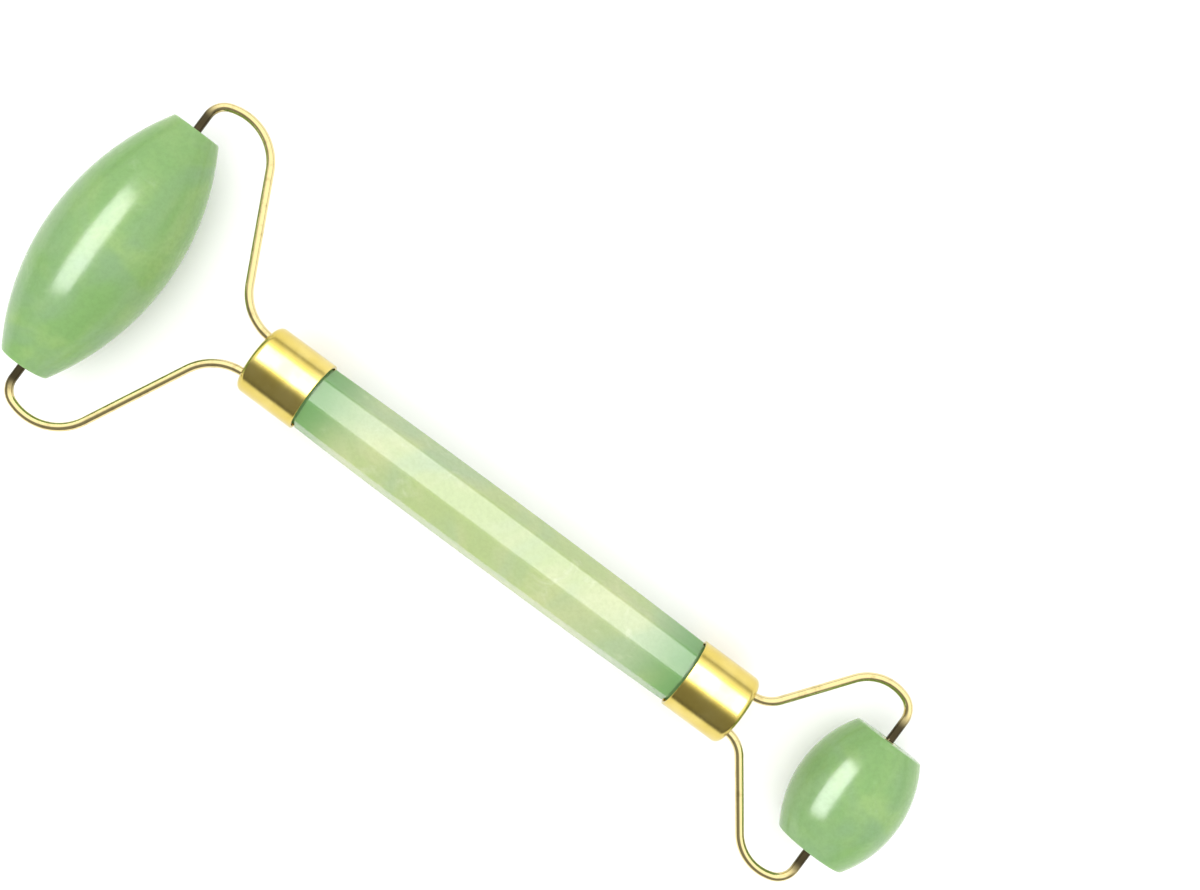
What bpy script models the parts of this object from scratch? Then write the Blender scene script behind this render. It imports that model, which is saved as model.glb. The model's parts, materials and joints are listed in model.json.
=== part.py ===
"""A double-ended jade face roller, in metres, lying on its two rollers with +Z up.

The handle runs along X, with the large roller at -X and the small one at +X, and slopes down
to the small one. Both rollers turn about axes along Y. The origin is the middle of the overall
box, on the surface underneath.
Each end is the same assembly at two sizes: a brass cup, two bent wire arms whose headed feet
are bedded in epoxy inside it, and a bored stone that turns on two sleeves round the arms' tips.
"""

import math
from dataclasses import dataclass

import bmesh
import bpy
from mathutils import Matrix, Vector

MM = 0.001

# Clearances
FIT_GAP = 0.3 * MM  # between pieces that are glued, pressed or seated together
RUNNING_GAP = 0.1 * MM  # radial, between a wire tip and the sleeve that turns on it

# Handle: an eight-sided rod of jade that swells a little towards its middle
HANDLE_SIDES = 8
HANDLE_EXPOSED = 66.2 * MM  # from one ferrule's mouth to the other's
HANDLE_MIDDLE_DIAMETER = 11.0 * MM  # across corners
HANDLE_END_DIAMETER = 10.4 * MM  # across corners, where the ferrules begin
HANDLE_LAND = 24.0 * MM  # the middle stretch whose facets are flat
HANDLE_LEAN = math.radians(17)  # from straight up to the nearest facet, towards +Y
SPIGOT_CHAMFER = 0.5 * MM

# Ferrules: drawn brass cups over the handle's ends
FERRULE_LENGTH = 9.8 * MM
FERRULE_PROUD = 0.3 * MM  # how far a ferrule stands out from the handle's corners
FERRULE_WALL = 0.4 * MM
FERRULE_PLATE = 0.8 * MM  # thickness of the closed end
FERRULE_CORNER = 1.0 * MM  # outer radius between the closed end and the wall
EPOXY_LENGTH = 3.0 * MM

# Wire arms: the same wire and the same feet and tips at both ends
WIRE_DIAMETER = 1.3 * MM
HEAD_OVERHANG = 0.35 * MM  # how far the foot's upset head stands out from the wire
HEAD_LENGTH = 0.8 * MM
HEAD_TAPER = 0.2 * MM
FOOT_MARGIN = 0.65 * MM  # epoxy left between a head's pocket and the ferrule's wall
SHOULDER_RADIUS = 3.0 * MM  # the tight bend next to the tip
SHOULDER_TURN = math.radians(70)
TIP_INSERTION = 6.5 * MM  # how far a tip reaches into its stone

# Sleeves: thin brass tubes in the stones' ends
SLEEVE_LENGTH = 4.5 * MM
SLEEVE_WALL = 0.6 * MM
SLEEVE_SHOULDER = 0.3 * MM  # how much narrower the stone's middle bore is than the sleeve
STONE_EDGE = 0.4 * MM  # radius where a stone's belly meets its end face

# Smoothness of the faceted solids
ROUND_STEPS = 40
SMALL_ROUND_STEPS = 24
BELLY_STEPS = 13  # odd, so that the widest ring is flat
BEND_STEP = math.radians(10)
CORNER_STEPS = 3
WIRE_BEVEL_RESOLUTION = 4
SHARP_ANGLE = math.radians(35)

# Lengths that follow from those above
WIRE_RADIUS = WIRE_DIAMETER / 2
HEAD_RADIUS = WIRE_RADIUS + HEAD_OVERHANG
FERRULE_RADIUS = HANDLE_END_DIAMETER / 2 + FERRULE_PROUD
CUP_RADIUS = FERRULE_RADIUS - FERRULE_WALL
CUP_FILL_RADIUS = CUP_RADIUS - FIT_GAP
CUP_CORNER = max(FERRULE_CORNER - FERRULE_WALL, FERRULE_WALL)  # the same corner's radius inside
FOOT_OFFSET = CUP_FILL_RADIUS - FOOT_MARGIN - HEAD_RADIUS  # a foot's distance from the handle's axis
SPIGOT_LENGTH = FERRULE_LENGTH - FERRULE_PLATE - EPOXY_LENGTH - 2 * FIT_GAP
SLEEVE_BORE_RADIUS = WIRE_RADIUS + RUNNING_GAP
SLEEVE_RADIUS = SLEEVE_BORE_RADIUS + SLEEVE_WALL
SLEEVE_SEAT_RADIUS = SLEEVE_RADIUS + FIT_GAP
STONE_BORE_RADIUS = SLEEVE_RADIUS - SLEEVE_SHOULDER


@dataclass(frozen=True)
class RollerEnd:
    """One end of the tool. Its fork's sizes are measured on the wire's centre line."""

    name: str
    outward: int  # the way it faces along X, -1 or 1
    stone_length: float
    stone_diameter: float
    stone_end_diameter: float
    throat: float  # from the ferrule's closed end to the stone's belly
    crown_height: float  # from the stone's end face to the fork's widest run
    crown_radius: float  # the wide bend at the fork's widest run
    root_radius: float  # the bend next to the ferrule

    @property
    def reach(self):
        """From the ferrule's closed end to the stone's axis."""
        return self.throat + self.stone_diameter / 2

    @property
    def half_span(self):
        """From the handle's axis to the fork's widest run."""
        return self.stone_length / 2 + self.crown_height

    @property
    def mouth_x(self):
        """The ferrule's open end, from the handle's middle, as are the next two."""
        return self.outward * HANDLE_EXPOSED / 2

    @property
    def face_x(self):
        return self.mouth_x + self.outward * FERRULE_LENGTH

    @property
    def axle_x(self):
        return self.face_x + self.outward * self.reach


LARGE_END = RollerEnd(
    name="large",
    outward=-1,
    stone_length=41.6 * MM,
    stone_diameter=18.7 * MM,
    stone_end_diameter=7.4 * MM,
    throat=17.0 * MM,
    crown_height=5.9 * MM,
    crown_radius=8.0 * MM,
    root_radius=8.0 * MM,
)
SMALL_END = RollerEnd(
    name="small",
    outward=1,
    stone_length=19.3 * MM,
    stone_diameter=16.5 * MM,
    stone_end_diameter=10.8 * MM,
    throat=11.6 * MM,
    crown_height=6.8 * MM,
    crown_radius=6.5 * MM,
    root_radius=4.8 * MM,
)


def resting_place():
    """Where the handle's middle is, and its slope about Y, with both stones on the surface."""
    large_radius = LARGE_END.stone_diameter / 2
    small_radius = SMALL_END.stone_diameter / 2
    slope = math.asin((large_radius - small_radius) / (SMALL_END.axle_x - LARGE_END.axle_x))
    x = (large_radius - small_radius - (LARGE_END.axle_x + SMALL_END.axle_x) * math.cos(slope)) / 2
    z = large_radius + LARGE_END.axle_x * math.sin(slope)
    return Vector((x, 0, z)), slope


def clear_scene():
    for obj in list(bpy.data.objects):
        bpy.data.objects.remove(obj, do_unlink=True)


def new_collection(name):
    collection = bpy.data.collections.new(name)
    bpy.context.scene.collection.children.link(collection)
    return collection


def new_material(name, colour, roughness, metallic):
    material = bpy.data.materials.new(name)
    material.use_nodes = True
    shader = material.node_tree.nodes["Principled BSDF"]
    shader.inputs["Base Color"].default_value = (*colour, 1.0)
    shader.inputs["Roughness"].default_value = roughness
    shader.inputs["Metallic"].default_value = metallic
    return material


def new_object(name, data, collection, parent=None, material=None):
    obj = bpy.data.objects.new(name, data)
    collection.objects.link(obj)
    obj.parent = parent
    if material:
        data.materials.append(material)
    return obj


def facing(direction, spin=0.0):
    """The rotation that turns local +Z to direction, after a spin about local +Z."""
    turn = Vector((0, 0, 1)).rotation_difference(Vector(direction)).to_matrix()
    return (turn @ Matrix.Rotation(spin, 3, "Z")).to_euler()


def rounded(corners):
    """The outline through corners, each (radius from axis, height, corner radius), rounded off."""
    points = []
    for i, (across, height, radius) in enumerate(corners):
        corner = Vector((across, height))
        if radius == 0:
            points.append(corner)
            continue
        before = (Vector(corners[i - 1][:2]) - corner).normalized()
        after = (Vector(corners[i + 1][:2]) - corner).normalized()
        half_angle = before.angle(after) / 2
        centre = corner + (before + after).normalized() * radius / math.sin(half_angle)
        start = corner + before * radius / math.tan(half_angle) - centre
        sweep = (math.pi - 2 * half_angle) * math.copysign(1, after.cross(before))
        for step in range(CORNER_STEPS + 1):
            turn = Matrix.Rotation(sweep * step / CORNER_STEPS, 2)
            points.append(centre + turn @ start)
    return points


def turned(name, outline, steps, closed, collection, parent, material):
    """A solid of revolution about local Z. Its outline runs down the outer side."""
    mesh = bpy.data.meshes.new(name)
    points = [(across, 0, height) for across, height in outline]
    edges = [(i, i + 1) for i in range(len(points) - 1)]
    if closed:
        edges.append((len(points) - 1, 0))
    mesh.from_pydata(points, edges, [])
    obj = new_object(name, mesh, collection, parent, material)
    screw = obj.modifiers.new("turn", "SCREW")
    screw.axis = "Z"
    screw.steps = steps
    screw.render_steps = steps
    screw.use_merge_vertices = True
    screw.merge_threshold = 0.01 * MM
    bpy.context.view_layer.objects.active = obj
    bpy.ops.object.modifier_apply(modifier=screw.name)
    obj.data.shade_smooth()
    obj.data.set_sharp_from_angle(angle=SHARP_ANGLE)
    return obj


def drill(obj, name, radius, start, end, parent, collection):
    """Cuts a round hole along X between two points of parent's space."""
    start, end = Vector(start), Vector(end)
    mesh = bpy.data.meshes.new(name)
    shape = bmesh.new()
    bmesh.ops.create_cone(
        shape,
        cap_ends=True,
        segments=SMALL_ROUND_STEPS,
        radius1=radius,
        radius2=radius,
        depth=(end - start).length,
    )
    shape.to_mesh(mesh)
    shape.free()
    cutter = new_object(name, mesh, collection, parent)
    cutter.rotation_euler = facing(end - start)
    cutter.location = (start + end) / 2
    cutter.display_type = "WIRE"
    cutter.hide_render = True
    cut = obj.modifiers.new(name, "BOOLEAN")
    cut.operation = "DIFFERENCE"
    cut.solver = "EXACT"
    cut.object = cutter


def make_handle(collection, parent, material):
    """The jade rod, from the tip of one spigot to the tip of the other."""
    spigot = CUP_FILL_RADIUS
    end = HANDLE_END_DIAMETER / 2
    middle = HANDLE_MIDDLE_DIAMETER / 2
    shoulder = HANDLE_EXPOSED / 2 - FIT_GAP
    tip = HANDLE_EXPOSED / 2 + SPIGOT_LENGTH
    upper = [
        (0, tip),
        (spigot - SPIGOT_CHAMFER, tip),
        (spigot, tip - SPIGOT_CHAMFER),
        (spigot, shoulder),
        (end, shoulder),
        (middle, HANDLE_LAND / 2),
    ]
    lower = [(across, -height) for across, height in reversed(upper)]
    handle = turned("handle_stone", upper + lower, HANDLE_SIDES, False, collection, parent, material)
    handle.data.shade_flat()
    half_facet = math.pi / HANDLE_SIDES
    handle.rotation_euler = facing((1, 0, 0), half_facet - HANDLE_LEAN)


def make_ferrule(end, collection, cutters, parent, material):
    """A drawn cup, closed but for the two holes that the arms' feet pass through."""
    outline = rounded([
        (0, 0, 0),
        (FERRULE_RADIUS, 0, FERRULE_CORNER),
        (FERRULE_RADIUS, -FERRULE_LENGTH, 0),
        (CUP_RADIUS, -FERRULE_LENGTH, 0),
        (CUP_RADIUS, -FERRULE_PLATE, CUP_CORNER),
        (0, -FERRULE_PLATE, 0),
    ])
    name = f"{end.name}_ferrule"
    ferrule = turned(name, outline, ROUND_STEPS, False, collection, parent, material)
    ferrule.location = (end.face_x, 0, 0)
    ferrule.rotation_euler = facing((end.outward, 0, 0))
    for side, side_name in ((1, "left"), (-1, "right")):
        outside = end.face_x + end.outward * FERRULE_PLATE
        inside = outside - 3 * end.outward * FERRULE_PLATE
        y = side * FOOT_OFFSET
        drill(ferrule, f"{name}_{side_name}_hole", WIRE_RADIUS + FIT_GAP,
              (outside, y, 0), (inside, y, 0), parent, cutters)


def make_epoxy(end, collection, cutters, parent, material):
    """The set epoxy between the cup's plate and the handle, with a pocket round each head."""
    name = f"{end.name}_ferrule_epoxy"
    face = FERRULE_PLATE + FIT_GAP
    outline = rounded([
        (0, -face, 0),
        (CUP_FILL_RADIUS, -face, CUP_CORNER - FIT_GAP),
        (CUP_FILL_RADIUS, FIT_GAP - face - EPOXY_LENGTH, 0),
        (0, FIT_GAP - face - EPOXY_LENGTH, 0),
    ])
    epoxy = turned(name, outline, ROUND_STEPS, False, collection, parent, material)
    epoxy.location = (end.face_x, 0, 0)
    epoxy.rotation_euler = facing((end.outward, 0, 0))
    pocket_depth = HEAD_LENGTH + HEAD_TAPER + FIT_GAP
    for side, side_name in ((1, "left"), (-1, "right")):
        mouth = end.face_x
        floor = mouth - end.outward * (face + pocket_depth)
        y = side * FOOT_OFFSET
        drill(epoxy, f"{name}_{side_name}_pocket", HEAD_RADIUS + FIT_GAP,
              (mouth, y, 0), (floor, y, 0), parent, cutters)


class BentWire:
    """A wire bent in one plane, as the points of its centre line and its radius at each.

    The first coordinate runs out from the ferrule, the second away from the handle's axis.
    """

    def __init__(self, start):
        self.points = [Vector(start)]
        self.radii = [WIRE_RADIUS]
        self.heading = 0.0

    def straight(self, length, radius=WIRE_RADIUS):
        way = Vector((math.cos(self.heading), math.sin(self.heading)))
        self.points.append(self.points[-1] + way * length)
        self.radii.append(radius)

    def bend(self, radius, turn):
        """An arc of that radius, to the left for a positive turn."""
        steps = math.ceil(abs(turn) / BEND_STEP)
        side = math.copysign(1, turn)
        to_wire = Vector((math.sin(self.heading), -math.cos(self.heading))) * radius * side
        centre = self.points[-1] - to_wire
        for step in range(1, steps + 1):
            self.points.append(centre + Matrix.Rotation(turn * step / steps, 2) @ to_wire)
            self.radii.append(WIRE_RADIUS)
        self.heading += turn


def slope_of(end, along, across):
    """The angle and length of the straight run between the root and crown bends.

    It is the inner tangent of the two bends' circles. The crown lies along and across from
    the point where the root bend starts.
    """
    radii = end.root_radius + end.crown_radius
    between = Vector((along, across - radii))
    angle = math.atan2(between.y, between.x) + math.asin(radii / between.length)
    return angle, math.sqrt(between.length_squared - radii**2)


def bent_arm(end):
    """One arm, from its headed foot inside the ferrule to its tip inside the stone."""
    crown_turn = math.pi / 2 - SHOULDER_TURN
    crown_to_axle = (
        end.crown_radius * math.sin(crown_turn)
        + SHOULDER_RADIUS * (1 - math.cos(SHOULDER_TURN))
    )
    along = end.reach - crown_to_axle
    angle, length = slope_of(end, along, end.half_span - FOOT_OFFSET)

    foot = -(FERRULE_PLATE + FIT_GAP + HEAD_LENGTH + HEAD_TAPER)
    wire = BentWire((foot, FOOT_OFFSET))
    wire.radii[0] = HEAD_RADIUS
    wire.straight(HEAD_LENGTH, HEAD_RADIUS)
    wire.straight(HEAD_TAPER)
    wire.straight(FERRULE_PLATE + FIT_GAP)
    wire.bend(end.root_radius, angle)
    wire.straight(length)
    wire.bend(end.crown_radius, -angle - crown_turn)
    wire.bend(SHOULDER_RADIUS, -SHOULDER_TURN)
    wire.straight(wire.points[-1].y - (end.stone_length / 2 - TIP_INSERTION))
    return wire


def make_arm(end, side, side_name, collection, parent, material):
    """One arm of a fork, on the +Y side for side 1 and the -Y side for -1."""
    wire = bent_arm(end)
    name = f"{end.name}_fork_{side_name}_arm"
    curve = bpy.data.curves.new(name, "CURVE")
    curve.dimensions = "3D"
    curve.bevel_depth = WIRE_RADIUS
    curve.bevel_resolution = WIRE_BEVEL_RESOLUTION
    curve.use_fill_caps = True
    spline = curve.splines.new("POLY")
    spline.points.add(len(wire.points) - 1)
    for point, place, radius in zip(spline.points, wire.points, wire.radii):
        point.co = (end.outward * place.x, side * place.y, 0, 1)
        point.radius = radius / WIRE_RADIUS
    arm = new_object(name, curve, collection, parent, material)
    arm.location = (end.face_x, 0, 0)


def belly_outline(end):
    """The barrel curve of a stone, from its +Z end face to its -Z one: an arc with a flat middle."""
    half = end.stone_length / 2
    end_radius = end.stone_end_diameter / 2
    rise = end.stone_diameter / 2 - end_radius
    radius = (half**2 + rise**2) / (2 * rise)
    spread = math.asin(half / radius)
    lowest = math.cos(spread)
    highest = math.cos(spread / BELLY_STEPS)
    outline = []
    for step in range(BELLY_STEPS + 1):
        angle = spread * (1 - 2 * step / BELLY_STEPS)
        share = (math.cos(angle) - lowest) / (highest - lowest)
        outline.append((end_radius + rise * share, radius * math.sin(angle)))
    return outline


def make_stone(end, collection, axle, material):
    """A barrel with a bore right through and a seat for a sleeve at each end."""
    half = end.stone_length / 2
    seat = half - SLEEVE_LENGTH - FIT_GAP
    belly = belly_outline(end)
    corners = [(SLEEVE_SEAT_RADIUS, half, 0)]
    corners += [(*belly[0], STONE_EDGE)]
    corners += [(across, height, 0) for across, height in belly[1:-1]]
    corners += [(*belly[-1], STONE_EDGE)]
    corners += [
        (SLEEVE_SEAT_RADIUS, -half, 0),
        (SLEEVE_SEAT_RADIUS, -seat, 0),
        (STONE_BORE_RADIUS, -seat, 0),
        (STONE_BORE_RADIUS, seat, 0),
        (SLEEVE_SEAT_RADIUS, seat, 0),
    ]
    name = f"{end.name}_roller_stone"
    stone = turned(name, rounded(corners), ROUND_STEPS, True, collection, axle, material)
    stone.rotation_euler = facing((0, 1, 0))


def make_sleeve(end, side, side_name, collection, axle, material):
    """A plain bearing tube, flush with the stone's end face."""
    half = SLEEVE_LENGTH / 2
    outline = [
        (SLEEVE_RADIUS, half),
        (SLEEVE_RADIUS, -half),
        (SLEEVE_BORE_RADIUS, -half),
        (SLEEVE_BORE_RADIUS, half),
    ]
    name = f"{end.name}_roller_{side_name}_sleeve"
    sleeve = turned(name, outline, SMALL_ROUND_STEPS, True, collection, axle, material)
    sleeve.location = (0, side * (end.stone_length / 2 - half), 0)
    sleeve.rotation_euler = facing((0, 1, 0))


def main():
    clear_scene()
    parts = new_collection("jade_face_roller")
    cutters = new_collection("cutters")
    jade = new_material("roller_jade", (0.33, 0.56, 0.24), 0.12, 0.0)
    pale_jade = new_material("handle_jade", (0.52, 0.68, 0.38), 0.12, 0.0)
    brushed_brass = new_material("brushed_brass", (0.85, 0.66, 0.27), 0.3, 1.0)
    polished_brass = new_material("polished_brass", (0.86, 0.72, 0.35), 0.12, 1.0)
    epoxy = new_material("epoxy", (0.75, 0.72, 0.60), 0.4, 0.0)

    frame = new_object("frame", None, parts)
    frame.location, slope = resting_place()
    frame.rotation_euler = (0, slope, 0)
    make_handle(parts, frame, pale_jade)
    for end in (LARGE_END, SMALL_END):
        axle = new_object(f"{end.name}_roller_axle", None, parts, frame)
        axle.location = (end.axle_x, 0, 0)
        make_ferrule(end, parts, cutters, frame, brushed_brass)
        make_epoxy(end, parts, cutters, frame, epoxy)
        make_stone(end, parts, axle, jade)
        for side, side_name in ((1, "left"), (-1, "right")):
            make_arm(end, side, side_name, parts, frame, polished_brass)
            make_sleeve(end, side, side_name, parts, axle, polished_brass)


main()
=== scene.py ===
"""The finish of the jade face roller: polished jade, satin brass cups and bright wire arms.

Each end's pieces are made in the handle's own space, whose X runs along the handle, and are
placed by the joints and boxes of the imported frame. Lengths are in metres.
"""

import json
import math
from dataclasses import dataclass

import bmesh
import bpy
from mathutils import Matrix, Vector


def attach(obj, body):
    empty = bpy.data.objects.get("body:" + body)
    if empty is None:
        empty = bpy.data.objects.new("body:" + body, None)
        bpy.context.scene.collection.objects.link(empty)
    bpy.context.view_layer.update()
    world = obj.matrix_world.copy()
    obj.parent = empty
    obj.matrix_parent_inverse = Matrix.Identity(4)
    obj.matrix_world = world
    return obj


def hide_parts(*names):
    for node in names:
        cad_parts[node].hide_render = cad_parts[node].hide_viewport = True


MM = 0.001

# Handle
HANDLE_SIDES = 8
HANDLE_MIDDLE_DIAMETER = 11.0 * MM  # across corners
HANDLE_END_DIAMETER = 10.4 * MM  # across corners, at the ferrules' mouths
HANDLE_LEAN = math.radians(17)  # from straight up to the nearest facet, towards +Y
HANDLE_SWELL = 2.4  # the power by which its diameter falls from the middle to the ends
HANDLE_STEPS = 40  # along its length
SPIGOT_RADIUS = 4.8 * MM
SPIGOT_CHAMFER = 0.5 * MM
RIDGE_RADIUS = 0.65 * MM  # of the polished ridges

# Ferrules
FERRULE_RADIUS = 5.5 * MM
FERRULE_WALL = 0.4 * MM
FERRULE_PLATE = 0.8 * MM
FERRULE_CORNER = 1.0 * MM
RIM_SOFTNESS = 0.12 * MM

# Wire arms
WIRE_RADIUS = 0.65 * MM
HEAD_RADIUS = 1.0 * MM
HEAD_LENGTH = 0.8 * MM
HEAD_TAPER = 0.2 * MM
SHOULDER_RADIUS = 3.0 * MM
SHOULDER_TURN = math.radians(70)
TIP_INSERTION = 6.5 * MM
FIT_GAP = 0.3 * MM

# Stones and sleeves
SLEEVE_LENGTH = 4.5 * MM
SLEEVE_BORE_RADIUS = 0.75 * MM
SLEEVE_RADIUS = 1.35 * MM
SLEEVE_SEAT_RADIUS = 1.65 * MM
SLEEVE_CHAMFER = 0.12 * MM
STONE_BORE_RADIUS = 1.05 * MM
STONE_EDGE = 0.45 * MM  # the radius between a stone's belly and its end face
STONE_MOUTH_BEVEL = 0.25 * MM  # where the seat breaks out of the end face

# Stage
FLOOR_SIZE = 40.0
CAMERA_TURN = math.radians(36.6)
CAMERA_PLACE = Vector((7.75, 19.0, 248.0)) * MM
CAMERA_LENS = 50.0


@dataclass(frozen=True)
class RollerEnd:
    """What sets one end apart from the other; the rest of its sizes come from the frame."""

    name: str
    outward: int
    stone_end_radius: float
    crown_height: float
    crown_radius: float
    root_radius: float


LARGE_END = RollerEnd("large", -1, 3.7 * MM, 5.9 * MM, 8.0 * MM, 8.0 * MM)
SMALL_END = RollerEnd("small", 1, 5.4 * MM, 6.8 * MM, 6.5 * MM, 4.8 * MM)


# --- the frame ---


def joint_place(name):
    """Where a joint is, in the world."""
    joint = next(j for j in frame["joints"] if j["name"] == name)
    return Vector(joint["pos_m"])


def handle_space():
    """The matrix from the handle's space, with its origin between the two axles, to the world."""
    large = joint_place("large_roller_spin")
    small = joint_place("small_roller_spin")
    slope = math.atan2(large.z - small.z, small.x - large.x)
    return Matrix.Translation((large + small) / 2) @ Matrix.Rotation(slope, 4, "Y")


def along_axle():
    """The turn that lays a lathed piece's Z along the axle, with its X left level."""
    return Matrix.Rotation(-to_world.to_euler().y, 4, "Y") @ Matrix.Rotation(
        -math.pi / 2, 4, "X")


def local_box(node):
    """A CAD node's lowest and highest corner in the handle's space."""
    to_local = to_world.inverted()
    corners = [to_local @ v.co for v in frame["nodes"][node].data.vertices]
    low = Vector(min(c[i] for c in corners) for i in range(3))
    high = Vector(max(c[i] for c in corners) for i in range(3))
    return low, high


def face_x(end):
    """The ferrule's closed end, in the handle's space."""
    low, high = local_box(f"{end.name}_ferrule")
    return high.x if end.outward > 0 else low.x


def mouth_x(end):
    """The ferrule's open end, in the handle's space."""
    low, high = local_box(f"{end.name}_ferrule")
    return low.x if end.outward > 0 else high.x


def axle_x(end):
    return (to_world.inverted() @ joint_place(f"{end.name}_roller_spin")).x


def foot_offset(end):
    """From the handle's axis to the middle of the arm's foot."""
    return local_box(f"{end.name}_fork_left_arm")[0].y + HEAD_RADIUS


def stone_size(end):
    """Length and radius of an end's roller stone."""
    low, high = local_box(f"{end.name}_roller_stone")
    return high.y - low.y, (high.x - low.x) / 2


# --- materials ---


class Material:
    """A Principled material, built one node at a time."""

    def __init__(self, name, roughness, metallic=0.0, ior=1.5):
        self.material = bpy.data.materials.new(name)
        self.material.use_nodes = True
        self.tree = self.material.node_tree
        self.shader = self.tree.nodes["Principled BSDF"]
        self.shader.inputs["Roughness"].default_value = roughness
        self.shader.inputs["Metallic"].default_value = metallic
        self.shader.inputs["IOR"].default_value = ior
        self.place = self.tree.nodes.new("ShaderNodeTexCoord").outputs["Object"]

    def link(self, source, target):
        if hasattr(source, "is_output"):
            self.tree.links.new(source, target)
        else:
            target.default_value = source

    def set(self, name, value):
        self.link(value, self.shader.inputs[name])

    def stretched(self, scale):
        """The object's coordinates, scaled along each axis."""
        mapping = self.tree.nodes.new("ShaderNodeMapping")
        self.link(self.place, mapping.inputs["Vector"])
        mapping.inputs["Scale"].default_value = scale
        return mapping.outputs["Vector"]

    def noise(self, scale, detail=2.0, roughness=0.5, distortion=0.0, place=None):
        noise = self.tree.nodes.new("ShaderNodeTexNoise")
        self.link(place or self.place, noise.inputs["Vector"])
        noise.inputs["Scale"].default_value = scale
        noise.inputs["Detail"].default_value = detail
        noise.inputs["Roughness"].default_value = roughness
        noise.inputs["Distortion"].default_value = distortion
        return noise.outputs["Fac"]

    def ramp(self, value, low, high, start=0.0, end=1.0):
        """A value, with low to high spread smoothly over start to end."""
        spread = self.tree.nodes.new("ShaderNodeMapRange")
        spread.interpolation_type = "SMOOTHSTEP"
        self.link(value, spread.inputs["Value"])
        spread.inputs["From Min"].default_value = low
        spread.inputs["From Max"].default_value = high
        spread.inputs["To Min"].default_value = start
        spread.inputs["To Max"].default_value = end
        return spread.outputs["Result"]

    def mix(self, share, first, second):
        """first where share is 0, second where it is 1. Each is a colour or a node's output."""
        mix = self.tree.nodes.new("ShaderNodeMix")
        mix.data_type = "RGBA"
        colours = [socket for socket in mix.inputs if socket.type == "RGBA"]
        self.link(share, mix.inputs["Factor"])
        for colour, socket in zip((first, second), colours):
            self.link((*colour, 1.0) if isinstance(colour, tuple) else colour, socket)
        return next(socket for socket in mix.outputs if socket.type == "RGBA")

    def math(self, operation, first, second=0.0):
        node = self.tree.nodes.new("ShaderNodeMath")
        node.operation = operation
        self.link(first, node.inputs[0])
        self.link(second, node.inputs[1])
        return node.outputs["Value"]

    def axis(self, name):
        """One of the object's coordinates."""
        node = self.tree.nodes.new("ShaderNodeSeparateXYZ")
        self.link(self.place, node.inputs["Vector"])
        return node.outputs[name]

    def distance(self):
        """How far a point is from the object's origin."""
        node = self.tree.nodes.new("ShaderNodeVectorMath")
        node.operation = "LENGTH"
        self.link(self.place, node.inputs[0])
        return node.outputs["Value"]

    def bump(self, height, distance, strength=1.0):
        node = self.tree.nodes.new("ShaderNodeBump")
        self.link(height, node.inputs["Height"])
        node.inputs["Distance"].default_value = distance
        node.inputs["Strength"].default_value = strength
        self.link(node.outputs["Normal"], self.shader.inputs["Normal"])


def polished_stone(name, base, yellower, greyer, wisp):
    """Jade in cloudy patches, with pale wisps, a fine grain and a hand-polished surface."""
    jade = Material(name, roughness=0.14, ior=1.6)
    clouds = jade.ramp(jade.noise(95.0, 3.0, 0.5, 0.6), 0.40, 0.66)
    shade = jade.ramp(jade.noise(62.0, 2.0, 0.5, 0.9, jade.stretched((1.0, 0.7, 1.3))), 0.42, 0.68)
    wisps = jade.ramp(jade.noise(150.0, 5.0, 0.6, 1.6), 0.56, 0.80, 0.0, 0.55)
    grain = jade.ramp(jade.noise(1500.0, 3.0, 0.7), 0.35, 0.70, 0.0, 0.16)
    colour = jade.mix(clouds, base, yellower)
    colour = jade.mix(shade, colour, greyer)
    colour = jade.mix(wisps, colour, wisp)
    colour = jade.mix(grain, colour, tuple(0.55 * c for c in base))
    jade.set("Roughness", jade.ramp(jade.noise(420.0, 3.0), 0.3, 0.7, 0.17, 0.24))
    jade.set("Specular IOR Level", 0.22)
    jade.set("Subsurface Weight", 0.35)
    jade.set("Subsurface Scale", 2.2 * MM)
    jade.shader.inputs["Subsurface Radius"].default_value = (0.8, 1.0, 0.55)
    jade.bump(jade.noise(210.0, 2.0, 0.4), 0.02 * MM)
    return jade, colour


def roller_jade():
    jade, colour = polished_stone(
        "roller_jade", (0.198, 0.355, 0.122), (0.250, 0.395, 0.142), (0.208, 0.345, 0.160),
        (0.300, 0.440, 0.220))
    jade.set("Base Color", colour)
    return jade.material


def handle_jade(half_length):
    """Paler jade, with painted shade near the ferrules: a deeper, darker green where less light
    comes through it.
    """
    jade, colour = polished_stone(
        "handle_jade", (0.366, 0.450, 0.204), (0.436, 0.485, 0.250), (0.334, 0.428, 0.246),
        (0.525, 0.570, 0.372))
    from_middle = jade.math("ABSOLUTE", jade.axis("X"))
    # painted shade: the colour runs to a darker, deeper green over the last 10 mm towards each
    # ferrule
    depth = jade.ramp(from_middle, half_length - 10.0 * MM, half_length, 0.0, 0.85)
    jade.set("Base Color", jade.mix(depth, colour, (0.110, 0.270, 0.085)))
    return jade.material


def satin_brass():
    """Brass brushed round the cup, with a little uneven tone and polish."""
    brass = Material("brushed_brass", roughness=0.2, metallic=1.0)
    rings = brass.noise(900.0, 4.0, 0.65, 0.0, brass.stretched((0.05, 0.05, 14.0)))
    tone = brass.ramp(brass.noise(260.0, 2.0), 0.35, 0.7)
    brass.set("Base Color", brass.mix(tone, (0.62, 0.485, 0.115), (0.68, 0.55, 0.17)))
    brass.set("Roughness", brass.ramp(rings, 0.25, 0.75, 0.17, 0.25))
    brass.bump(rings, 0.004 * MM, 0.6)
    return brass.material


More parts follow.
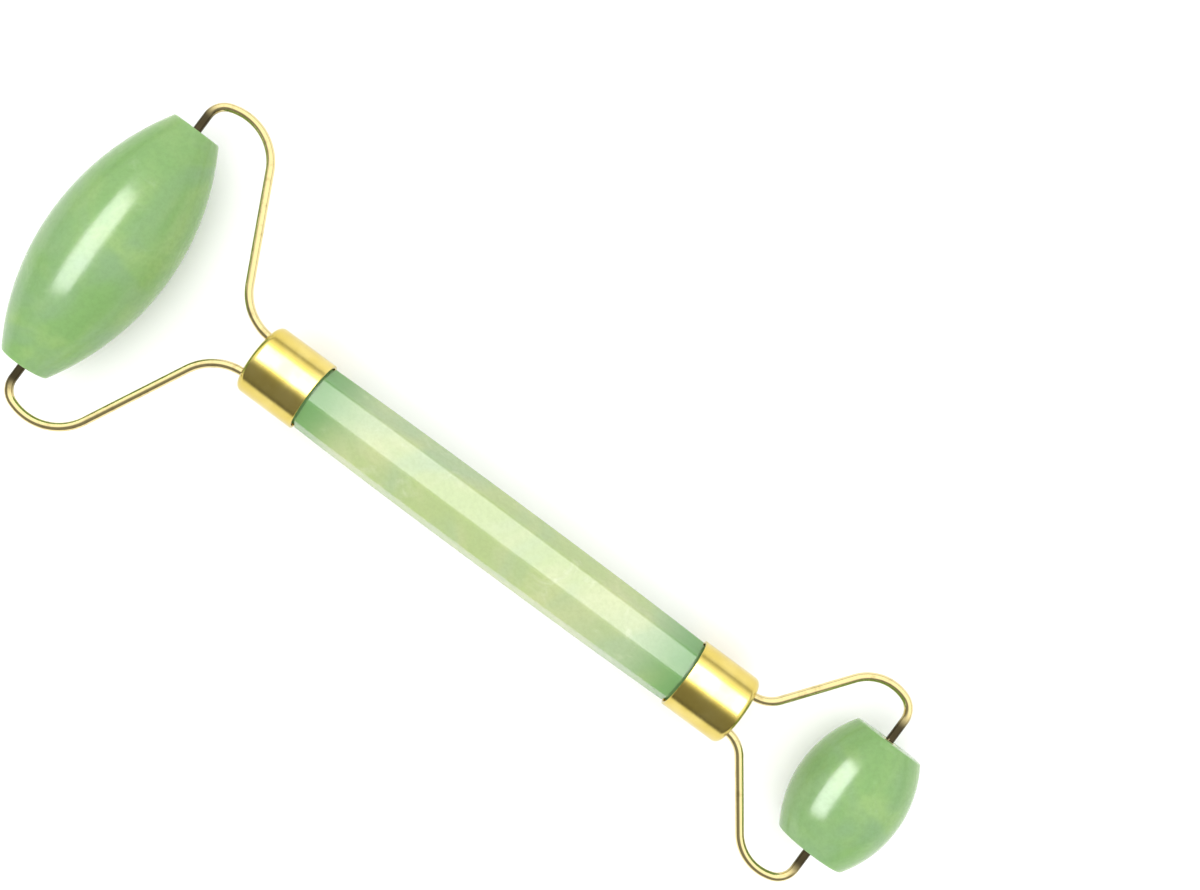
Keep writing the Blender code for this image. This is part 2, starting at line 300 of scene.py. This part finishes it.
def bright_brass(name, stub_shade):
    """Polished brass with a trace of tarnish, and painted shade close to its origin, where a wire
    meets its stone. The second argument is how dark that painted shade is at the origin.
    """
    brass = Material(name, roughness=0.1, metallic=1.0)
    tarnish = brass.ramp(brass.noise(700.0, 3.0), 0.52, 0.75, 0.0, 0.5)
    colour = brass.mix(tarnish, (0.72, 0.60, 0.29), (0.42, 0.32, 0.12))
    # painted shade: near-black colour within a few millimetres of the origin, where the wire enters
    # the stone's end face
    near = brass.ramp(brass.distance(), 2.4 * MM, 5.2 * MM, stub_shade, 0.0)
    brass.set("Base Color", brass.mix(near, colour, (0.024, 0.018, 0.010)))
    brass.set("Roughness", brass.ramp(brass.noise(1800.0, 3.0), 0.3, 0.7, 0.06, 0.16))
    brass.bump(brass.noise(2500.0, 2.0), 0.003 * MM, 0.5)
    return brass.material


def set_epoxy():
    epoxy = Material("epoxy", roughness=0.35)
    haze = epoxy.ramp(epoxy.noise(500.0, 4.0), 0.35, 0.7)
    epoxy.set("Base Color", epoxy.mix(haze, (0.62, 0.56, 0.36), (0.78, 0.74, 0.58)))
    epoxy.bump(epoxy.noise(900.0, 2.0), 0.02 * MM)
    return epoxy.material


# --- building and placing ---


def new_piece(name, data, material, slot, place, *nodes):
    """A piece in place of CAD nodes, at a place in the handle's space."""
    piece = bpy.data.objects.new(name, data)
    bpy.context.scene.collection.objects.link(piece)
    data.materials.append(material)
    piece.matrix_world = to_world @ place
    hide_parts(*nodes)
    made[name] = piece
    return piece


def finish_piece(piece, body):
    """Applies the piece's modifiers and lets it ride."""
    bpy.context.view_layer.objects.active = piece
    for modifier in list(piece.modifiers):
        bpy.ops.object.modifier_apply(modifier=modifier.name)
    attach(piece, body)


def arc(centre, radius, start, end, steps):
    """Points of an arc from one angle to another, both ends included."""
    angles = [start + (end - start) * step / steps for step in range(steps + 1)]
    return [(centre[0] + radius * math.cos(a), centre[1] + radius * math.sin(a)) for a in angles]


def lathe(name, outline, steps, closed):
    """A mesh turned about Z. The outline runs down its outer side."""
    shape = bmesh.new()
    ring = [shape.verts.new((across, 0, height)) for across, height in outline]
    edges = [shape.edges.new(pair) for pair in zip(ring, ring[1:])]
    if closed:
        edges.append(shape.edges.new((ring[-1], ring[0])))
    bmesh.ops.spin(shape, geom=ring + edges, angle=math.tau, steps=steps,
                   axis=(0, 0, 1), cent=(0, 0, 0), use_merge=True)
    bmesh.ops.remove_doubles(shape, verts=shape.verts, dist=0.001 * MM)
    bmesh.ops.recalc_face_normals(shape, faces=shape.faces)
    mesh = bpy.data.meshes.new(name)
    shape.to_mesh(mesh)
    shape.free()
    mesh.shade_smooth()
    mesh.set_sharp_from_angle(angle=math.radians(40))
    return mesh


def octagon(radius):
    """Points round the rod, with rounded ridges and a flat run into each facet."""
    half_facet = math.pi / HANDLE_SIDES
    flat_run = 0.1 * MM
    points = []
    for side in range(HANDLE_SIDES):
        ridge = math.pi / 2 - HANDLE_LEAN + (2 * side + 1) * half_facet
        back = radius - RIDGE_RADIUS / math.cos(half_facet)
        centre = (back * math.cos(ridge), back * math.sin(ridge))
        before, after = ridge - half_facet, ridge + half_facet
        rounded = arc(centre, RIDGE_RADIUS, before, after, 6)
        (first_y, first_z), (last_y, last_z) = rounded[0], rounded[-1]
        points.append((first_y + flat_run * math.sin(before), first_z - flat_run * math.cos(before)))
        points += rounded
        points.append((last_y - flat_run * math.sin(after), last_z + flat_run * math.cos(after)))
    return points


def circle(radius):
    """As many points as the octagon has, round a circle."""
    around = [math.atan2(z, y) for y, z in octagon(HANDLE_END_DIAMETER / 2)]
    return [(radius * math.cos(angle), radius * math.sin(angle)) for angle in around]


def make_handle():
    """The octagonal rod: facets that swell to the middle, soft ridges and round spigots."""
    low, high = local_box("handle_stone")
    half = (high.x - low.x) / 2
    shoulder = (mouth_x(SMALL_END) - mouth_x(LARGE_END)) / 2 - FIT_GAP
    rise = (HANDLE_MIDDLE_DIAMETER - HANDLE_END_DIAMETER) / 2
    spigot = [
        (half, circle(SPIGOT_RADIUS - SPIGOT_CHAMFER)),
        (half - SPIGOT_CHAMFER, circle(SPIGOT_RADIUS)),
        (shoulder, circle(SPIGOT_RADIUS)),
    ]
    stations = [(-x, section) for x, section in spigot]
    for step in range(HANDLE_STEPS + 1):
        share = 2 * step / HANDLE_STEPS - 1
        swell = 1 - abs(share) ** HANDLE_SWELL
        stations.append((share * shoulder, octagon(HANDLE_END_DIAMETER / 2 + rise * swell)))
    stations += reversed(spigot)

    shape = bmesh.new()
    rings = [[shape.verts.new((x, y, z)) for y, z in section] for x, section in stations]
    for before, after in zip(rings, rings[1:]):
        for i in range(len(before)):
            shape.faces.new((before[i - 1], before[i], after[i], after[i - 1]))
    shape.faces.new(reversed(rings[0]))
    shape.faces.new(rings[-1])
    bmesh.ops.recalc_face_normals(shape, faces=shape.faces)
    mesh = bpy.data.meshes.new("jade_handle")
    shape.to_mesh(mesh)
    shape.free()
    mesh.shade_smooth()
    mesh.set_sharp_from_angle(angle=math.radians(30))
    place = Matrix.Translation(((low.x + high.x) / 2, 0, 0))
    piece = new_piece("jade_handle", mesh, handle_jade(shoulder), "handle_jade", place,
                      "handle_stone")
    finish_piece(piece, "frame")


def make_ferrule(end, material):
    """The drawn cup: a soft outer corner, a soft rim and two holes for the wires."""
    length = abs(mouth_x(end) - face_x(end))
    inner = FERRULE_RADIUS - FERRULE_WALL
    inner_corner = FERRULE_CORNER - FERRULE_WALL
    outline = [(0, 0)]
    outline += arc((FERRULE_RADIUS - FERRULE_CORNER, -FERRULE_CORNER), FERRULE_CORNER,
                   math.pi / 2, 0, 10)
    outline += arc((FERRULE_RADIUS - RIM_SOFTNESS, RIM_SOFTNESS - length), RIM_SOFTNESS,
                   0, -math.pi / 2, 4)
    outline += arc((inner + RIM_SOFTNESS, RIM_SOFTNESS - length), RIM_SOFTNESS,
                   -math.pi / 2, -math.pi, 4)
    outline += arc((inner - inner_corner, -FERRULE_PLATE - inner_corner), inner_corner,
                   0, math.pi / 2, 6)
    outline.append((0, -FERRULE_PLATE))
    mesh = lathe(f"{end.name}_ferrule_cup", outline, 128, False)
    turn = Vector((0, 0, 1)).rotation_difference(Vector((end.outward, 0, 0))).to_matrix().to_4x4()
    place = Matrix.Translation((face_x(end), 0, 0)) @ turn
    piece = new_piece(f"{end.name}_ferrule_cup", mesh, material, "brushed_brass", place,
                      f"{end.name}_ferrule")
    cutters = []
    hole_sides = 48
    to_plate = Matrix.Rotation(math.pi / 2, 4, "Y") @ Matrix.Rotation(
        math.pi / hole_sides, 4, "Z")  # with no corner of a hole on an edge of the plate
    for side in (1, -1):
        bpy.ops.mesh.primitive_cylinder_add(vertices=hole_sides, radius=WIRE_RADIUS + FIT_GAP,
                                            depth=4 * FERRULE_PLATE)
        cutter = bpy.context.object
        centre = Vector((face_x(end), side * foot_offset(end), 0))
        cutter.matrix_world = to_world @ Matrix.Translation(centre) @ to_plate
        cut = piece.modifiers.new("hole", "BOOLEAN")
        cut.operation = "DIFFERENCE"
        cut.solver = "EXACT"
        cut.object = cutter
        cutters.append(cutter)
    finish_piece(piece, "frame")
    for cutter in cutters:
        bpy.data.objects.remove(cutter, do_unlink=True)
    piece.data.shade_smooth()
    piece.data.set_sharp_from_angle(angle=math.radians(40))


class BentWire:
    """A wire bent in one plane, as the points of its centre line and its radius at each."""

    BEND_STEP = math.radians(3)

    def __init__(self, start):
        self.points = [Vector(start)]
        self.radii = [WIRE_RADIUS]
        self.heading = 0.0

    def straight(self, length, radius=WIRE_RADIUS):
        way = Vector((math.cos(self.heading), math.sin(self.heading)))
        self.points.append(self.points[-1] + way * length)
        self.radii.append(radius)

    def bend(self, radius, turn):
        """An arc of that radius, to the left for a positive turn."""
        steps = math.ceil(abs(turn) / self.BEND_STEP)
        side = math.copysign(1, turn)
        to_wire = Vector((math.sin(self.heading), -math.cos(self.heading))) * radius * side
        centre = self.points[-1] - to_wire
        for step in range(1, steps + 1):
            self.points.append(centre + Matrix.Rotation(turn * step / steps, 2) @ to_wire)
            self.radii.append(WIRE_RADIUS)
        self.heading += turn


def bent_arm(end):
    """One arm from its headed foot to its tip: out from the ferrule, then away from the handle."""
    length, _ = stone_size(end)
    reach = abs(axle_x(end) - face_x(end))
    half_span = length / 2 + end.crown_height
    crown_turn = math.pi / 2 - SHOULDER_TURN
    crown_to_axle = (
        end.crown_radius * math.sin(crown_turn)
        + SHOULDER_RADIUS * (1 - math.cos(SHOULDER_TURN))
    )
    radii = end.root_radius + end.crown_radius
    between = Vector((reach - crown_to_axle, half_span - foot_offset(end) - radii))
    slope = math.atan2(between.y, between.x) + math.asin(radii / between.length)

    foot = -(FERRULE_PLATE + FIT_GAP + HEAD_LENGTH + HEAD_TAPER)
    wire = BentWire((foot, foot_offset(end)))
    wire.radii[0] = HEAD_RADIUS
    wire.straight(HEAD_LENGTH, HEAD_RADIUS)
    wire.straight(HEAD_TAPER)
    wire.straight(FERRULE_PLATE + FIT_GAP)
    wire.bend(end.root_radius, slope)
    wire.straight(math.sqrt(between.length_squared - radii**2))
    wire.bend(end.crown_radius, -slope - crown_turn)
    wire.bend(SHOULDER_RADIUS, -SHOULDER_TURN)
    wire.straight(wire.points[-1].y - (length / 2 - TIP_INSERTION))
    return wire


def make_arm(end, side, side_name, material):
    """One bent wire. Its origin is on the axle, at the stone's end face."""
    wire = bent_arm(end)
    length, _ = stone_size(end)
    origin = Vector((abs(axle_x(end) - face_x(end)), length / 2))
    name = f"{end.name}_{side_name}_wire"
    curve = bpy.data.curves.new(name, "CURVE")
    curve.dimensions = "3D"
    curve.bevel_depth = WIRE_RADIUS
    curve.bevel_resolution = 8
    curve.use_fill_caps = True
    spline = curve.splines.new("POLY")
    spline.use_smooth = True
    spline.points.add(len(wire.points) - 1)
    for point, place, radius in zip(spline.points, wire.points, wire.radii):
        across = place - origin
        point.co = (end.outward * across.x, side * across.y, 0, 1)
        point.radius = radius / WIRE_RADIUS
    place = Matrix.Translation((axle_x(end), side * length / 2, 0))
    piece = new_piece(name, curve, material, "polished_brass", place,
                      f"{end.name}_fork_{side_name}_arm")
    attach(piece, "frame")


def make_stone(end, material):
    """A polished barrel with soft edges at its end faces, bored through and seated for sleeves."""
    length, radius = stone_size(end)
    half = length / 2
    rise = radius - end.stone_end_radius
    belly_radius = (half**2 + rise**2) / (2 * rise)
    spread = math.asin(half / belly_radius)
    lean = math.pi / 2 - spread  # from the end face to the belly's first tangent
    edge_steps = 6
    corner = STONE_EDGE / math.tan((math.pi - lean) / 2)
    edge_centre = Vector((end.stone_end_radius - corner, half - STONE_EDGE))
    trimmed = math.asin((edge_centre.y + STONE_EDGE * math.sin(spread)) / belly_radius)
    upper = arc(edge_centre, STONE_EDGE, math.pi / 2, spread, edge_steps)
    belly = arc((radius - belly_radius, 0), belly_radius, trimmed, 0, 32)
    upper += belly[1:]
    lower = [(across, -height) for across, height in reversed(upper[:-1])]
    seat = half - SLEEVE_LENGTH - FIT_GAP
    bevel = STONE_MOUTH_BEVEL
    outline = [(SLEEVE_SEAT_RADIUS, half - bevel), (SLEEVE_SEAT_RADIUS + bevel, half)]
    outline += upper + lower
    outline += [
        (SLEEVE_SEAT_RADIUS + bevel, -half),
        (SLEEVE_SEAT_RADIUS, bevel - half),
        (SLEEVE_SEAT_RADIUS, -seat),
        (STONE_BORE_RADIUS, -seat),
        (STONE_BORE_RADIUS, seat),
        (SLEEVE_SEAT_RADIUS, seat),
    ]
    name = f"{end.name}_jade_barrel"
    mesh = lathe(name, outline, 160, True)
    place = Matrix.Translation((axle_x(end), 0, 0)) @ along_axle()
    piece = new_piece(name, mesh, material, "roller_jade", place, f"{end.name}_roller_stone")
    finish_piece(piece, f"{end.name}_roller")


def make_sleeve(end, side, side_name, material):
    """A plain tube whose outer and inner mouths are broken with a small chamfer."""
    half = SLEEVE_LENGTH / 2
    chamfer = SLEEVE_CHAMFER
    outline = [
        (SLEEVE_RADIUS - chamfer, half),
        (SLEEVE_RADIUS, half - chamfer),
        (SLEEVE_RADIUS, chamfer - half),
        (SLEEVE_RADIUS - chamfer, -half),
        (SLEEVE_BORE_RADIUS + chamfer, -half),
        (SLEEVE_BORE_RADIUS, chamfer - half),
        (SLEEVE_BORE_RADIUS, half - chamfer),
        (SLEEVE_BORE_RADIUS + chamfer, half),
    ]
    name = f"{end.name}_{side_name}_sleeve"
    length, _ = stone_size(end)
    place = Matrix.Translation((axle_x(end), side * (length / 2 - half), 0)) @ along_axle()
    piece = new_piece(name, lathe(name, outline, 64, True), material, "polished_brass", place,
                      f"{end.name}_roller_{side_name}_sleeve")
    finish_piece(piece, f"{end.name}_roller")


# --- stage ---


def make_floor():
    floor = Material("floor", roughness=0.6)
    floor.set("Base Color", (0.93, 0.93, 0.93, 1.0))
    floor.set("Specular IOR Level", 0.2)
    bpy.ops.mesh.primitive_grid_add(size=FLOOR_SIZE, x_subdivisions=2, y_subdivisions=2)
    sheet = bpy.context.object
    sheet.name = "floor"
    sheet.data.materials.append(floor.material)


def make_light(name, target, direction, size, radiance):
    """A soft rectangular light a metre from its target, with its sizes along and across Y."""
    width, height = size
    data = bpy.data.lights.new(name, "AREA")
    data.shape = "RECTANGLE"
    data.size = width
    data.size_y = height
    data.energy = radiance * math.pi * width * height
    light = bpy.data.objects.new(name, data)
    bpy.context.scene.collection.objects.link(light)
    way = Vector(direction).normalized()
    up = way.cross(Vector((0, 1, 0))).normalized()
    across = up.cross(way)
    light.matrix_world = Matrix.Translation(target + way) @ Matrix(
        (across, up, way)).transposed().to_4x4()
    return light


def make_shine(name, target, direction, size, radiance, receivers):
    """A light that is seen only as a shine on its receivers."""
    light = make_light(name, target, direction, size, radiance)
    light.visible_diffuse = False
    light.visible_transmission = False
    lit = bpy.data.collections.new(f"{name}_receivers")
    for receiver in receivers:
        lit.objects.link(receiver)
    light.light_linking.receiver_collection = lit


def make_lights(shown):
    """The shine on each stone, the handle's upper facet and the cups, and a fill from -Y."""
    large = joint_place("large_roller_spin")
    small = joint_place("small_roller_spin")
    middle = (large + small) / 2
    stones = [shown["large_jade_barrel"], shown["small_jade_barrel"]]
    cups = [shown["large_ferrule_cup"], shown["small_ferrule_cup"]]
    handle = [shown["jade_handle"]]
    make_shine("large_stone_key", large, (-0.238, -0.079, 1.0), (0.95, 0.62), 18.0, stones[:1])
    make_shine("small_stone_key", small, (-1.02, -0.12, 1.0), (1.10, 0.64), 20.0, stones[1:])
    make_shine("handle_key", middle, (0.0, 0.566, 1.0), (0.36, 0.90), 9.5, handle)
    make_shine("cup_key", middle, (0.0, 0.45, 1.0), (1.0, 1.4), 5.8, cups)
    fill = make_light("fill", middle, (0.0, -0.9, 1.0), (1.2, 1.6), 1.9)
    fill.visible_glossy = False


def make_world():
    """A pale room, dimmer towards -Y and low down, above a horizon as bright as the floor."""
    world = bpy.data.worlds.new("room")
    bpy.context.scene.world = world
    world.use_nodes = True
    tree = world.node_tree
    direction = tree.nodes.new("ShaderNodeTexCoord").outputs["Generated"]
    split = tree.nodes.new("ShaderNodeSeparateXYZ")
    tree.links.new(direction, split.inputs["Vector"])

    def spread(axis, low, high, start, end):
        ramp = tree.nodes.new("ShaderNodeMapRange")
        ramp.interpolation_type = "SMOOTHSTEP"
        tree.links.new(split.outputs[axis], ramp.inputs["Value"])
        ramp.inputs["From Min"].default_value = low
        ramp.inputs["From Max"].default_value = high
        ramp.inputs["To Min"].default_value = start
        ramp.inputs["To Max"].default_value = end
        return ramp.outputs["Result"]

    def combined(operation, first, second):
        node = tree.nodes.new("ShaderNodeMath")
        node.operation = operation
        tree.links.new(first, node.inputs[0])
        tree.links.new(second, node.inputs[1])
        return node.outputs["Value"]

    walls = combined("MULTIPLY", spread("Y", -0.40, 0.0, 0.30, 1.62),
                     spread("Z", 0.04, 0.42, 0.18, 1.0))
    strength = combined("MAXIMUM", walls, spread("Z", 0.03, 0.10, 1.1, 0.0))
    tree.links.new(strength, tree.nodes["Background"].inputs["Strength"])
    tree.nodes["Background"].inputs["Color"].default_value = (1.0, 1.0, 1.0, 1.0)


def make_camera():
    data = bpy.data.cameras.new("camera")
    data.lens = CAMERA_LENS
    data.clip_start = 0.01
    camera = bpy.data.objects.new("camera", data)
    bpy.context.scene.collection.objects.link(camera)
    camera.location = CAMERA_PLACE
    camera.rotation_euler = (0, 0, CAMERA_TURN)
    bpy.context.scene.camera = camera


def main():
    make_camera()
    make_world()
    make_floor()
    jade = roller_jade()
    cup_brass = satin_brass()
    # the wires get painted shade at their stubs, by the stones' end faces
    wire_brass = bright_brass("worn_wire_brass", 0.95)
    sleeve_brass = bright_brass("polished_brass", 0.0)
    make_handle()
    for end in (LARGE_END, SMALL_END):
        make_ferrule(end, cup_brass)
        make_stone(end, jade)
        for side, side_name in ((1, "left"), (-1, "right")):
            make_arm(end, side, side_name, wire_brass)
            make_sleeve(end, side, side_name, sleeve_brass)
    epoxy = set_epoxy()
    for end in (LARGE_END, SMALL_END):
        frame["nodes"][f"{end.name}_ferrule_epoxy"].data.materials[0] = epoxy
    make_lights(made)
    bpy.context.scene.view_settings.view_transform = "Standard"


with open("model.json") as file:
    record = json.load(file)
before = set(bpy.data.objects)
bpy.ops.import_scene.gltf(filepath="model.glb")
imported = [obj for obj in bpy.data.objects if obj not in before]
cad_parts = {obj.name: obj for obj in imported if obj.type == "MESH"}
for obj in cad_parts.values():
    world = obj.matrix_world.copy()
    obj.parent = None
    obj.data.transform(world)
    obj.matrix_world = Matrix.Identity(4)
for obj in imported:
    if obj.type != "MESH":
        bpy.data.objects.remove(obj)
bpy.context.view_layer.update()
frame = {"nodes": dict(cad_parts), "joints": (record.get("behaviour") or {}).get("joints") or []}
to_world = handle_space()
made = {}  # each new piece, by name
main()
